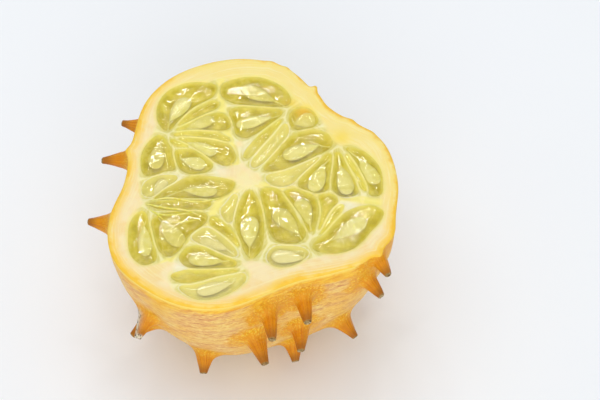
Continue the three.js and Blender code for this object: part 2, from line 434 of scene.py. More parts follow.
def make_horns():
    """All the horns, with feet that don't run into each other."""
    horns = [Horn(*row) for row in HORNS]
    for horn in horns:
        gaps = [np.linalg.norm(horn.root - other.root) for other in horns if other is not horn]
        horn.flare = min(FLARE, 0.45 * min(gaps))
    return horns


def local_offset(horn, along, direction):
    """Offsets from a horn's root on the skin: round the fruit, and up it."""
    turn = wrapped(direction - horn.direction)
    return turn * width_at((along + horn.along) / 2), along - horn.along


def raise_horn(horn, round_by, up_by):
    """Where the skin's points inside a horn's foot go, and how far up the horn each one is."""
    reach = np.hypot(round_by, up_by)
    bearing = np.arctan2(up_by, round_by)
    radius, height = horn.profile(reach / horn.flare)
    share = height / horn.length
    # The shaft isn't quite round, and has low ridges along it.
    ridges = sum(
        amount * np.cos(count * bearing + phase)
        for amount, count, phase in zip((0.05, 0.03, 0.025, 0.02, 0.015), (2, 4, 7, 11, 15), horn.phase)
    )
    ridge_strength = smoothstep(0.0, 0.4, share) * smoothstep(0.02, 0.25, reach / horn.flare)
    radius = radius * (1 + ridges * ridge_strength)
    safe = np.maximum(reach, 1e-6)
    along = horn.along + up_by / safe * radius
    turn = round_by / safe * radius / width_at((along + horn.along) / 2)
    base = skin_at(np.clip(along, 0, SKIN_LENGTH), horn.direction + turn)
    # Up the horn, the skin's own curve gives way to the horn's round section.
    straight = (
        horn.root
        + np.outer(-np.cos(bearing) * radius, horn.side)
        + np.outer(np.sin(bearing) * radius, horn.up)
    )
    upright = smoothstep(0.05, 0.5, share)[:, None]
    place = base * (1 - upright) + straight * upright
    place = place + np.outer(height, horn.axis) + np.outer(share**2, horn.bend)
    return place, share


def skin_points(horns):
    """The skin's points on a flat map: distance along the skin, and direction."""
    rim_directions = np.linspace(0, 2 * math.pi, RIM_POINTS, endpoint=False)
    pairs = [np.stack([np.full(RIM_POINTS, SKIN_LENGTH), rim_directions], 1)]
    # Rings from the resting spot's middle to just under the rim, each turned by half a step.
    under_rim = 0.35
    rings = int(SKIN_LENGTH / (SKIN_STEP * ROW_STEP))
    for ring in range(rings):
        along = (ring + 0.5) / rings * (SKIN_LENGTH - under_rim)
        count = max(6, round(2 * math.pi * width_at(along) / SKIN_STEP))
        turns = (np.arange(count) + 0.5 * (ring % 2)) / count * 2 * math.pi
        jitter = rng.uniform(-0.1, 0.1, count) * SKIN_STEP / max(width_at(along), 1)
        pairs.append(np.stack([np.full(count, along), (turns + jitter) % (2 * math.pi)], 1))
    plain = np.vstack(pairs)
    free = np.ones(len(plain), bool)
    for horn in horns:
        round_by, up_by = local_offset(horn, plain[:, 0], plain[:, 1])
        free &= (np.hypot(round_by, up_by) > horn.flare + 0.25) | (plain[:, 0] == SKIN_LENGTH)
    points = [plain[free]]
    for horn in horns:
        for ring in range(FOOT_RINGS):
            share = (ring + 0.5) / (FOOT_RINGS - 0.5)
            reach = horn.flare * share
            count = FOOT_SIDES if share > 0.12 else max(8, int(FOOT_SIDES * share / 0.12))
            bearings = (np.arange(count) + 0.5 * (ring % 2)) / count * 2 * math.pi
            along = horn.along + np.sin(bearings) * reach
            turn = np.cos(bearings) * reach / width_at((along + horn.along) / 2)
            inside = along < SKIN_LENGTH - 0.25
            pair = np.stack([along, (horn.direction + turn) % (2 * math.pi)], 1)
            points.append(pair[inside])
    return np.vstack(points)


def stream_coordinates(horns, along, direction):
    """Coordinates of a flow round the fruit that parts at each horn: along the flow and across it."""
    fading = 160  # square of the distance over which a horn's effect fades
    flow = direction * MEAN_RADIUS
    across = along.copy()
    for horn in horns:
        round_by, up_by = local_offset(horn, along, direction)
        reach2 = round_by**2 + up_by**2 + 3.0
        fade = np.exp(-reach2 / fading)
        flow += 7.0 * round_by / reach2 * fade
        across -= 9.0 * up_by / reach2 * fade
    return flow, across


def build_skin(horns):
    """Points, faces and per-point facts of the outside, from the resting spot to the cut edge."""
    pairs = skin_points(horns)
    along, direction = pairs[:, 0], pairs[:, 1]
    flat_map = np.stack([along * np.cos(direction), along * np.sin(direction)], 1)
    # The map is of the skin as seen from inside, so its triangles are turned round.
    faces = triangulate(flat_map, loop_edges(0, RIM_POINTS))[:, [0, 2, 1]]
    place = skin_at(along, direction)
    share = np.zeros(len(place))
    nearest = np.full(len(place), np.inf)
    bearing = np.zeros(len(place))
    number = np.zeros(len(place))
    for count, horn in enumerate(horns):
        round_by, up_by = local_offset(horn, along, direction)
        reach = np.hypot(round_by, up_by)
        near = reach < horn.flare
        place[near], share[near] = raise_horn(horn, round_by[near], up_by[near])
        closest = reach < nearest
        nearest = np.where(closest, reach, nearest)
        bearing = np.where(closest, np.arctan2(up_by, round_by), bearing)
        number = np.where(closest, count, number)
    # The skin is gently uneven, but flat where it rests and level where it was cut.
    radial = place * [1, 1, 0] / np.maximum(np.hypot(place[:, 0], place[:, 1]), 1)[:, None]
    free = smoothstep(0.5, 6, place[:, 2]) * smoothstep(0, 4, HEIGHT - place[:, 2])
    swell = 0.35 * lumps(place, 14, 1) + 0.12 * lumps(place, 4, 2)
    place = place + radial * (swell * free)[:, None]
    place[:, 2] = np.clip(place[:, 2], 0, HEIGHT - RIM_LIP)
    place[:RIM_POINTS, 2] = HEIGHT - RIM_LIP
    flow, across = stream_coordinates(horns, along, direction)
    # A horn's colour runs out over the skin, to an uneven distance.
    reach = 9.2 + 2.8 * lumps(place, 2.2, 5)
    foot = 1 - smoothstep(2.6, reach, nearest)
    torn = np.exp(-((np.abs(bearing - math.radians(150)) / 0.75) ** 2)) * smoothstep(0.06, 0.2, share)
    torn = np.maximum(torn, smoothstep(0.8, 0.9, share)) * (number == SCARRED_HORN)
    facts = {
        "horn": share,
        "foot": foot,
        "torn": torn,
        "spokes": np.column_stack(
            [np.cos(bearing) * 9, np.sin(bearing) * 9, nearest * 0.9 + share * 3 + number * 3.7]
        ),
        "stream": np.column_stack([flow, across, np.zeros(len(place))]),
    }
    return place, faces, facts


# ---------------------------------------------------------------- the cut face


def grown(loops):
    """The sacs' outlines, spread towards each other but leaving a partition between."""
    loops = [closed_curve(loop, SAC_EDGE_STEP) for loop in loops]
    spread = []
    for loop in loops:
        room = np.min([distance_to_loop(loop, other) for other in loops if other is not loop], 0)
        most = np.clip((room - THINNEST_PARTITION) / 2, 0, SAC_GROWTH)
        growth = np.minimum(averaged(most), most)
        spread.append(loop + outward_normals(loop) * growth[:, None])
    return [closed_curve(loop, SAC_EDGE_STEP) for loop in spread]


def outward_normals(loop):
    """Unit normals that point out of a closed outline."""
    tangent = np.roll(loop, -1, 0) - np.roll(loop, 1, 0)
    normal = np.stack([tangent[:, 1], -tangent[:, 0]], 1)
    normal /= np.linalg.norm(normal, axis=1)[:, None]
    after = np.roll(loop, -1, 0)
    area = (loop[:, 0] * after[:, 1] - loop[:, 1] * after[:, 0]).sum()
    return normal * math.copysign(1, area)


class Sac:
    """One seed sac: its outline, the points inside it, and the colour of its jelly."""

    def __init__(self, loop):
        self.loop = loop
        grid = grid_inside(loop, SAC_STEP)
        self.inner = np.vstack([self.inset(0.14), self.inset(0.32), grid])
        self.gap = distance_to_loop(self.inner, loop)
        self.half_width = self.gap.max()
        self.pale = float(any(inside_loop(np.array([spot], float), loop)[0] for spot in PALE_SACS))

    def inset(self, gap):
        """Points just inside the outline, left out where the sac is too narrow for them."""
        moved = self.loop - outward_normals(self.loop) * gap
        good = inside_loop(moved, self.loop)
        good &= distance_to_loop(moved, self.loop) > gap * 0.93
        return moved[good]

    def cup(self, gap):
        """How far below the cut the sac's wall is, from the distance to its outline."""
        deepest = min(CUP_DEPTH, self.half_width + 0.5)
        return EDGE_DROP + deepest * (1 - np.exp(-gap / 1.6))


def distances_to_sacs(points, sacs):
    """Each 2-D point's distance to the nearest sac and to the second nearest, up to 6 mm."""
    first = np.full(len(points), 6.0)
    second = first.copy()
    for sac in sacs:
        low, high = sac.loop.min(0) - 6, sac.loop.max(0) + 6
        near = ((points > low) & (points < high)).all(1)
        gap = np.full(len(points), 6.0)
        gap[near] = distance_to_loop(points[near], sac.loop)
        second = np.minimum(second, np.maximum(first, gap))
        first = np.minimum(first, gap)
    return first, second


def face_points(edge, sacs):
    """Points of the cut face outside the sacs: close together between them, wider in the wall."""
    kept = []
    for step, in_tissue in ((WALL_STEP, False), (TISSUE_STEP, True)):
        grid = grid_inside(edge, step)
        inside = np.any([inside_loop(grid, sac.loop) for sac in sacs], 0)
        grid = grid[~inside]
        gap = distances_to_sacs(grid, sacs)[0]
        kept.append(grid[(gap > 0.26) & ((gap < 2.4) == in_tissue)])
    return np.vstack(kept)


def build_face(rim, sacs):
    """Points and faces of the cut face, with a cup for each sac, and facts about each point."""
    inward = rim.mean(0) - rim
    inward /= np.linalg.norm(inward, axis=1)[:, None]
    edge = rim + inward * RIM_LIP
    outlines = [edge] + [sac.loop for sac in sacs]
    points, edges = [], []
    for outline in outlines:
        edges += loop_edges(sum(len(p) for p in points), len(outline))
        points.append(outline)
    points.append(face_points(edge, sacs))
    sac_first = sum(len(p) for p in points)
    points += [sac.inner for sac in sacs]
    flat = np.vstack(points)
    faces = triangulate(flat, edges)
    middles = flat[faces].mean(1)
    faces = faces[inside_loop(middles, edge)]

    first_gap, second_gap = distances_to_sacs(flat, sacs)
    facts = {
        "rim_gap": distance_to_loop(flat, rim),
        "sac_gap": first_gap,
        "ridge": 4 * first_gap * second_gap / (first_gap + second_gap + 1e-6) ** 2,
        "between": 1 - smoothstep(2.6, 5.2, first_gap + second_gap),
        "lobe_wall": np.min([distance_to_path(flat, path) for path in LOBE_WALLS], 0),
        "pale": spots(flat, PALE_SPOTS),
        "golden": spots(flat, GOLDEN_SPOTS),
        # Where the lining gets painted light under the seeds, to lift their shadows.
        "painted_light_under_seeds": over_seed(flat),
    }
    solid = at_height(flat, HEIGHT)
    # Between the sacs the tissue sinks a little, with fine raised lines where partitions meet,
    # and it rounds over into each sac.
    ripple = 0.05 * lumps(solid, 1.6, 3) * smoothstep(0.4, 2.5, facts["rim_gap"])
    sunk = facts["between"] * (0.2 - 0.17 * smoothstep(0.8, 1.0, facts["ridge"]))
    depth = np.maximum(0.03 - ripple + sunk, 0) + EDGE_DROP * np.exp(-first_gap / 0.35)
    inner, outline = sac_first, len(edge)
    for sac in sacs:
        own = np.r_[outline : outline + len(sac.loop), inner : inner + len(sac.inner)]
        gap = np.concatenate([np.zeros(len(sac.loop)), sac.gap])
        facts["sac_gap"][own] = -gap
        facts["pale"][own] = np.maximum(facts["pale"][own], sac.pale)
        depth[own] = sac.cup(gap) + 0.2 * lumps(solid[own], 1.3, 4) * smoothstep(0.3, 1.2, gap)
        outline += len(sac.loop)
        inner += len(sac.inner)
    solid[:, 2] -= depth
    solid[: len(edge), 2] = HEIGHT
    facts["hub"] = hub_coordinates(flat)
    return solid, faces, facts


def hub_coordinates(points):
    """Coordinates that fan out from the nearest place where sacs' points meet."""
    hubs = np.array(HUBS + [(0, 0)], float)  # the centre of the fruit is one too
    offset = points[:, None, :] - hubs
    reach = np.linalg.norm(offset, axis=2)
    nearest = reach.argmin(1)
    rows = np.arange(len(points))
    spoke = offset[rows, nearest] / np.maximum(reach[rows, nearest], 0.3)[:, None]
    return np.column_stack([spoke * 9, reach[rows, nearest] * 0.25 + nearest * 5])


def build_body(horns, sacs):
    """The half fruit's one closed skin and cut face."""
    skin, skin_faces, skin_facts = build_skin(horns)
    rim = skin[:RIM_POINTS, :2]
    face, face_faces, face_facts = build_face(rim, sacs)
    offset = len(skin)
    joins = []
    for here, after in loop_edges(0, RIM_POINTS):
        joins += [(here, after, offset + after), (here, offset + after, offset + here)]
    points = np.vstack([skin, face])
    faces = np.vstack([skin_faces, face_faces + offset, np.array(joins)])
    slots = [0] * len(skin_faces) + [1] * (len(face_faces) + len(joins))
    piece = make_piece("rind_and_flesh", points, faces, [skin_material(), flesh_material()], slots)
    add_fact(piece, "below_cut", HEIGHT - points[:, 2])
    for name, values in skin_facts.items():
        add_fact(piece, name, np.concatenate([values, np.zeros((len(face), *values.shape[1:]))]))
    # On the skin, the cut face's facts say that it is at the rim and far from any sac.
    far = {"sac_gap": 6, "lobe_wall": 30}
    for name, values in face_facts.items():
        elsewhere = np.full((len(skin), *values.shape[1:]), far.get(name, 0))
        add_fact(piece, name, np.concatenate([elsewhere, values]))
    return piece


# ---------------------------------------------------------------- materials


class Nodes:
    """Short calls for building one material's node tree."""

    def __init__(self, name):
        self.material = bpy.data.materials.new(name)
        self.material.use_nodes = True
        self.tree = self.material.node_tree
        self.tree.nodes.clear()

    def make(self, kind, output, inputs, **settings):
        """Adds a node, feeds its inputs with numbers or sockets, and gives one of its outputs."""
        node = self.tree.nodes.new(kind)
        for key, value in settings.items():
            setattr(node, key, value)
        for key, value in inputs.items():
            if isinstance(value, bpy.types.NodeSocket):
                self.tree.links.new(value, node.inputs[key])
            else:
                node.inputs[key].default_value = value
        return node.outputs[output]

    def attribute(self, name, output="Fac"):
        return self.make("ShaderNodeAttribute", output, {}, attribute_name=name)

    def times(self, a, b):
        return self.make("ShaderNodeMath", "Value", {0: a, 1: b}, operation="MULTIPLY")

    def plus(self, a, b):
        return self.make("ShaderNodeMath", "Value", {0: a, 1: b}, operation="ADD")

    def larger(self, a, b):
        return self.make("ShaderNodeMath", "Value", {0: a, 1: b}, operation="MAXIMUM")

    def vector_math(self, operation, a, b, output="Value"):
        return self.make("ShaderNodeVectorMath", output, {0: a, 1: b}, operation=operation)

    def noise(self, vector, scale, detail=3.0, roughness=0.5, distortion=0.0):
        inputs = {"Vector": vector, "Scale": scale, "Detail": detail}
        inputs |= {"Roughness": roughness, "Distortion": distortion}
        return self.make("ShaderNodeTexNoise", "Fac", inputs)

    def cells(self, vector, scale):
        return self.make("ShaderNodeTexVoronoi", "Distance", {"Vector": vector, "Scale": scale})

    def stretch(self, vector, scale):
        return self.make("ShaderNodeMapping", "Vector", {"Vector": vector, "Scale": scale})

    def place(self):
        """Object coordinates in millimetres."""
        return self.stretch(self.make("ShaderNodeTexCoord", "Object", {}), (1 / MM,) * 3)

    def between(self, value, low, high, out_low=0.0, out_high=1.0, smooth=True):
        """Carries value from low..high to out_low..out_high."""
        inputs = {"Value": value, "From Min": low, "From Max": high}
        inputs |= {"To Min": out_low, "To Max": out_high}
        curve = "SMOOTHSTEP" if smooth else "LINEAR"
        return self.make("ShaderNodeMapRange", "Result", inputs, interpolation_type=curve)

    def shaken(self, value, noise, least, most, low=0.3, high=0.7):
        """Adds an amount from least to most that follows a noise."""
        return self.plus(value, self.between(noise, low, high, least, most, False))

    def mix(self, share, a, b):
        inputs = {"Factor": share, "A": colour(a), "B": colour(b)}
        return self.make("ShaderNodeMix", "Result", inputs, data_type="RGBA")

    def paint(self, under, over, value, low, high, most=1.0):
        """Lays a colour over another where value goes from low to high, as thickly as most."""
        return self.mix(self.between(value, low, high, 0.0, most), under, over)

    def bump(self, height, distance, strength):
        """A normal from a height, as deep as distance in millimetres."""
        inputs = {"Height": height, "Distance": distance * MM, "Strength": strength}
        return self.make("ShaderNodeBump", "Normal", inputs)

    def principled(self, **sockets):
        inputs = {key.replace("_", " "): value for key, value in sockets.items()}
        return self.make("ShaderNodeBsdfPrincipled", "BSDF", inputs)

    def finish(self, shader):
        output = self.tree.nodes.new("ShaderNodeOutputMaterial")
        self.tree.links.new(shader, output.inputs["Surface"])
        return self.material


def colour(value):
    """An sRGB triple from 0 to 255 as a linear colour; sockets pass through."""
    if isinstance(value, tuple) and len(value) == 3:
        linear = [(c / 255) / 12.92 if c <= 10 else ((c / 255 + 0.055) / 1.055) ** 2.4 for c in value]
        return (*linear, 1.0)
    return value


def skin_material():
    """Golden under the cut, tan with reddish streaks below, and orange-brown on the horns."""
    n = Nodes("rind")
    place = n.place()
    stream = n.attribute("stream", "Vector")
    spokes = n.attribute("spokes", "Vector")
    horn, foot, torn, below = map(n.attribute, ("horn", "foot", "torn", "below_cut"))

    # Broken streaks run round the fruit and part at the horns.
    broad = n.noise(n.stretch(stream, (0.09, 0.3, 1)), 1.0, 3, 0.6, 0.4)
    fine = n.noise(n.stretch(stream, (0.34, 1.4, 1)), 1.0, 4, 0.7, 1.2)
    hairs = n.noise(n.stretch(stream, (0.7, 3.2, 1)), 1.0, 3, 0.6, 0.9)
    patches = n.noise(place, 0.07, 2, 0.5)
    skin = n.paint((250, 218, 128), (238, 182, 88), fine, 0.36, 0.6)
    skin = n.paint(skin, (245, 192, 78), patches, 0.44, 0.58, 0.75)
    blush = n.times(n.between(broad, 0.44, 0.6), n.between(fine, 0.4, 0.6, 0.2, 1))
    skin = n.mix(n.times(blush, 0.7), skin, (224, 152, 98))
    streak = n.times(n.between(fine, 0.53, 0.63), n.between(broad, 0.34, 0.56, 0.25, 1))
    skin = n.mix(n.times(streak, 0.7), skin, (204, 126, 66))
    skin = n.paint(skin, (196, 118, 60), hairs, 0.56, 0.68, 0.5)
    skin = n.paint(skin, (254, 230, 150), hairs, 0.43, 0.33, 0.65)

    # A golden band under the cut edge.
    wander = n.shaken(below, broad, -4.0, 4.0, 0.25, 0.75)
    wander = n.shaken(wander, fine, -1.0, 1.0)
    gold = n.paint((252, 202, 50), (242, 166, 20), fine, 0.42, 0.6)
    skin = n.paint(skin, gold, wander, 6.0, 1.0, 0.95)
    skin = n.paint(skin, (254, 226, 116), below, 2.0, 0.4, 0.9)

    # The horns' feet: golden, with brown strands that meet on the horn and yellow grains between.
    strands = n.noise(spokes, 1.0, 3, 0.65, 0.4)
    grains = n.shaken(n.cells(place, 1.5), strands, -0.15, 0.15)
    ground = n.paint((242, 172, 18), (254, 214, 72), grains, 0.5, 0.22)
    ground = n.paint(ground, (220, 138, 8), strands, 0.46, 0.62, 0.7)
    ground = n.paint(ground, (226, 146, 10), foot, 0.65, 1.0, 0.5)
    brushed = n.shaken(foot, strands, -0.24, 0.24)
    skin = n.paint(skin, ground, brushed, 0.12, 0.62, 0.95)

    # The shafts: orange-brown, darker up the horn, and dry round the blunt tip.
    shaft = n.paint((232, 158, 10), (206, 120, 4), strands, 0.3, 0.7)
    shaft = n.paint(shaft, (146, 84, 22), horn, 0.45, 0.92, 0.7)
    skin = n.paint(skin, shaft, horn, 0.1, 0.4)
    chaff = n.noise(place, 1.9, 3, 0.7)
    tip = n.times(n.between(horn, 0.92, 0.965), n.between(chaff, 0.4, 0.55, 0.4, 1))
    skin = n.mix(tip, skin, (158, 132, 78))
    ring = n.times(n.between(horn, 0.975, 0.995), n.between(chaff, 0.5, 0.6))
    skin = n.mix(ring, skin, (214, 202, 166))
    dry = n.times(torn, n.between(chaff, 0.32, 0.5, 0.35, 1))
    skin = n.mix(dry, skin, (226, 216, 190))
    burnt = n.larger(n.between(horn, 0.95, 0.985), torn)
    skin = n.mix(n.times(burnt, n.between(chaff, 0.48, 0.4)), skin, (78, 60, 34))

    # The dry scar that the flower left, in the middle of the resting spot.
    from_middle = n.vector_math("DISTANCE", place, (0, 0, 0))
    worn = n.shaken(from_middle, fine, -0.6, 0.6)
    skin = n.paint(skin, (176, 124, 62), worn, 3.4, 1.8)
    skin = n.paint(skin, (104, 76, 44), worn, 1.7, 1.0)

    # The streaks, the grains round the horns and the strands on them all stand up a little.
    relief = n.plus(n.times(fine, 0.8), n.times(hairs, 0.4))
    knots = n.times(n.between(grains, 0.1, 0.6, 1, 0), n.between(foot, 0.1, 0.8))
    relief = n.plus(relief, n.times(knots, 0.9))
    relief = n.plus(relief, n.times(n.times(strands, foot), 0.7))
    roughness = n.between(fine, 0.3, 0.7, 0.36, 0.5)
    roughness = n.plus(roughness, n.between(horn, 0.9, 1.0, 0, 0.3))
    shader = n.principled(
        Base_Color=skin,
        Roughness=roughness,
        Specular_IOR_Level=0.25,
        Normal=n.bump(relief, 0.22, 0.5),
        Subsurface_Weight=0.15,
        Subsurface_Scale=1.2 * MM,
        Subsurface_Radius=(1.0, 0.5, 0.2),
    )
    return n.finish(shader)


def flesh_material():
    """Cream wall, golden at its edge; yellow-green tissue between the sacs; olive down in them."""
    n = Nodes("flesh")
    place = n.place()
    names = ("rim_gap", "sac_gap", "ridge", "between", "lobe_wall", "pale", "golden", "painted_light_under_seeds")
    rim_gap, sac_gap, ridge, between, lobe_wall, pale, golden, painted_light_under_seeds = map(n.attribute, names)
    hub = n.attribute("hub", "Vector")
    cloud = n.noise(place, 0.22, 3, 0.55)
    fibre = n.noise(place, 1.1, 4, 0.6)
    spoke = n.noise(n.stretch(hub, (1, 1, 0.6)), 1.3, 3, 0.6, 0.3)
    strand = n.noise(n.stretch(hub, (1, 1, 0.35)), 0.8, 3, 0.6, 0.6)

    # Faint fibres run round the fruit in the outer wall.
    inward = n.make("ShaderNodeCombineXYZ", "Vector", {"X": n.times(rim_gap, 1.8)})
    around = n.vector_math("ADD", n.stretch(place, (0.14, 0.14, 0)), inward, "Vector")
    rings = n.noise(around, 1.0, 4, 0.6, 0.3)

    # The outer wall.
    cream = n.paint((250, 230, 182), (247, 219, 154), cloud, 0.35, 0.65)
    cream = n.paint(cream, (253, 238, 192), fibre, 0.55, 0.75, 0.35)
    edge = n.shaken(rim_gap, cloud, -0.7, 0.9)
    wall = n.paint(cream, (251, 210, 88), edge, 3.2, 0.8, 0.9)
    # It is yellower towards the back right.
    back_right = n.vector_math("DOT_PRODUCT", place, (0.6, 0.8, 0))
    wall = n.paint(wall, (248, 229, 138), back_right, 4, 24, 0.75)
    wall = n.paint(wall, (254, 240, 186), rings, 0.5, 0.64, 0.4)
    wall = n.paint(wall, (248, 198, 62), edge, 1.2, 0.1)

    # The tissue between the sacs, its fine pale lines, and the three walls between the lobes.
    tissue = n.paint((220, 209, 110), (233, 224, 146), spoke, 0.38, 0.62)
    tissue = n.paint(tissue, (236, 226, 160), sac_gap, 0.6, 1.4, 0.7)
    line = n.times(n.between(ridge, 0.86, 0.99), n.between(spoke, 0.3, 0.5, 0.5, 1))
    tissue = n.mix(n.times(line, 0.8), tissue, (245, 237, 178))
    tissue = n.mix(n.times(pale, 0.9), tissue, (243, 237, 204))
    wall = n.paint(wall, (243, 230, 142), sac_gap, 1.3, 0.1, 0.7)
    wall = n.mix(between, wall, tissue)
    thick = n.times(n.between(lobe_wall, 1.7, 0.4), n.between(sac_gap, 0.1, 0.6))
    thick = n.times(thick, n.between(between, 0.1, 0.7, 0.1, 0.9))
    wall = n.mix(thick, wall, (247, 234, 128))
    middle = n.vector_math("DISTANCE", place, (-1, -0.5, HEIGHT))
    star = n.times(n.between(middle, 5.5, 1.5), n.between(sac_gap, 0.0, 0.6))
    star = n.times(star, n.between(spoke, 0.3, 0.55, 0.45, 1))
    wall = n.mix(n.times(star, 0.9), wall, (251, 237, 176))
    wall = n.mix(n.times(golden, 0.8), wall, (250, 222, 84))

    # The sacs' lining.
    depths = n.noise(place, 0.3, 3, 0.6)
    olive = n.paint((228, 214, 98), (212, 196, 34), depths, 0.38, 0.52)
    olive = n.paint(olive, (196, 180, 4), depths, 0.52, 0.66)
    olive = n.paint(olive, (240, 232, 160), strand, 0.54, 0.7, 0.5)
    # Paler lining under each seed: painted light that lifts the shadow each seed casts down through the
    # jelly.
    olive = n.paint(olive, (236, 228, 160), painted_light_under_seeds, 0.1, 1.0)
    olive = n.mix(n.times(pale, 0.8), olive, (228, 219, 136))
    olive = n.mix(golden, olive, (238, 204, 70))
    lining = n.paint((242, 232, 144), olive, sac_gap, 0.0, -1.1)
    base = n.paint(wall, lining, sac_gap, 0.12, -0.12)

    # The tissue's fibres, a fine grain and the wall's rings all stand up a little.
    streaks = n.times(spoke, n.between(between, 0.2, 0.8))
    grain = n.plus(fibre, n.times(n.cells(place, 2.4), 0.4))
    relief = n.plus(n.times(grain, 0.5), n.times(streaks, 1.4))
    relief = n.plus(relief, n.times(rings, 0.5))
    shader = n.principled(
        Base_Color=base,
        Roughness=n.between(between, 0.0, 0.8, 0.6, 0.22),
        Specular_IOR_Level=0.35,
        Normal=n.bump(relief, 0.2, 0.4),
        Subsurface_Weight=0.35,
        Subsurface_Scale=2.0 * MM,
        Subsurface_Radius=(1.0, 0.8, 0.3),
    )
    return n.finish(shader)


def clear_to_lamps(n, shader, tint):
    """Lets lamplight through a clear piece, tinted, so that what is inside it is lit."""
    lamplight = n.make("ShaderNodeLightPath", "Is Shadow Ray", {})
    clear = n.make("ShaderNodeBsdfTransparent", "BSDF", {"Color": colour(tint)})
    return n.make("ShaderNodeMixShader", "Shader", {0: lamplight, 1: shader, 2: clear})


def jelly_material():
    """Clear wet olive-green jelly, very slightly milky."""
    n = Nodes("jelly")
    place = n.place()
    swirl = n.noise(place, 0.5, 3, 0.6, 0.8)
    tint = n.paint((232, 226, 118), (246, 242, 168), swirl, 0.35, 0.65)
    tint = n.mix(n.attribute("pale"), tint, (246, 243, 200))
    tint = n.mix(n.attribute("golden"), tint, (252, 232, 140))
    # Fine wrinkles fan out from where the sacs' points meet.
    wrinkle = n.noise(n.stretch(n.attribute("hub", "Vector"), (1, 1, 0.9)), 1.8, 3, 0.6, 0.4)
    wave = n.plus(n.noise(place, 0.8, 2, 0.5), n.times(wrinkle, 0.4))
    shader = n.principled(
        Base_Color=tint,
        Roughness=0.05,
        IOR=1.35,
        Transmission_Weight=0.9,
        Coat_Weight=0.6,
        Coat_Roughness=0.03,
        Normal=n.bump(wave, 0.22, 0.35),
    )
    return n.finish(clear_to_lamps(n, shader, (249, 247, 210)))


def seed_material():
    """Smooth cream seed coat with a faint grain along it."""
    n = Nodes("seed")
    place = n.place()
    cloud = n.noise(place, 0.7, 3, 0.6)
    grain = n.noise(n.stretch(place, (3, 3, 3)), 1.0, 3, 0.6)
    coat = n.paint((228, 218, 160), (216, 205, 140), cloud, 0.35, 0.65)
    coat = n.mix(n.attribute("whiteness"), coat, (234, 229, 208))
    coat = n.paint(coat, (232, 227, 200), grain, 0.5, 0.7, 0.35)
    shader = n.principled(Base_Color=coat, Roughness=0.4, Normal=n.bump(grain, 0.1, 0.4))
    return n.finish(shader)


def thread_material():
    """Whitish-yellow threads that hold the seeds."""
    n = Nodes("thread")
    place = n.place()
    pale = n.paint((238, 230, 160), (246, 240, 190), n.noise(place, 1.5, 3), 0.35, 0.65)
    shader = n.principled(Base_Color=pale, Roughness=0.35)
    return n.finish(shader)


def strand_material():
    """Wet yellow-green tissue in two uneven shades."""
    n = Nodes("strand")
    place = n.place()
    green = n.paint((228, 218, 84), (240, 232, 138), n.noise(place, 0.9, 3), 0.35, 0.65)
    shader = n.principled(
        Base_Color=green, Roughness=0.25, Subsurface_Weight=0.3, Subsurface_Scale=1.0 * MM
    )
    return n.finish(shader)


# ---------------------------------------------------------------- seeds, threads and jelly

# The places on the partitions where the sacs' points meet.
HUBS = [(-21, 16), (-24.5, -6.5), (-0.5, -24.5), (14.5, -20), (21.5, 12), (9.5, 24)]

# Each seed: its middle, the direction from its point to its round end in degrees, length, width,
# and how far its top lies below the cut.
SEEDS = [
    (-18.8, 23.6, 62, 8.8, 3.7, 0.35),
    (-13.6, 19.0, 22, 8.0, 3.0, 0.5),
    (-12.6, 11.2, -26, 8.0, 3.0, 0.5),
    (-14.6, 6.6, -20, 6.2, 3.2, 0.8),
    (-23.6, 8.6, -98, 8.2, 3.5, 0.35),
    (-22.6, -1.6, 60, 5.2, 2.6, 0.6),
    (-12.6, -2.6, -2, 8.0, 3.2, 0.35),
    (-19.2, -15.8, -54, 8.6, 3.9, 0.3),
    (-25.6, -18.0, -84, 8.8, 3.0, 0.5),
    (-8.6, -19.2, 156, 7.0, 2.8, 0.7),
    (-10.4, -24.0, 176, 8.2, 3.0, 0.4),
    (-8.2, -32.0, 198, 8.4, 3.2, 0.6),
    (-0.1, -15.5, 91, 9.4, 4.0, 0.3),
    (9.0, -12.4, 128, 9.4, 4.0, 0.3),
    (13.4, -9.2, 108, 8.2, 3.6, 0.4),
    (24.3, -14.6, 38, 9.6, 3.7, 0.3),
    (9.3, -23.0, 176, 7.6, 3.4, 0.4),
    (12.6, 10.2, 202, 9.4, 4.0, 0.3),
    (16.8, 1.6, 252, 8.4, 3.7, 0.4),
    (23.2, 0.8, -80, 8.8, 3.6, 0.35),
    (29.2, 3.6, -62, 8.6, 3.3, 0.4),
    (1.6, 28.8, 152, 9.4, 4.0, 0.3),
    (0.6, 19.8, 196, 8.6, 3.2, 0.45),
    (13.3, 20.2, 20, 5.6, 4.0, 0.8),
]

# Strands of torn tissue on top of the jelly, as routes.
STRANDS = [
    [(-25.8, -7.0), (-21.0, -8.4), (-15.4, -9.4), (-10.8, -11.8)],
    [(-25.4, -8.4), (-22.4, -10.4), (-18.4, -10.6), (-13.0, -9.6)],
    [(-23.6, -9.4), (-20.6, -12.4), (-16.0, -12.8), (-12.0, -11.6)],
    [(-24.6, -6.0), (-19.6, -5.4), (-13.0, -6.6), (-7.4, -5.2)],
]


def row_faces(rows, sides):
    """Faces of a closed skin: rows of points round it, then one point for each of its ends."""
    faces = []
    for row in range(rows - 1):
        for side, after in loop_edges(0, sides):
            a, b = row * sides + side, row * sides + after
            faces += [(a, b, b + sides), (a, b + sides, a + sides)]
    start, end = rows * sides, rows * sides + 1
    last = (rows - 1) * sides
    for side, after in loop_edges(0, sides):
        faces += [(start, after, side), (end, last + side, last + after)]
    return np.array(faces)


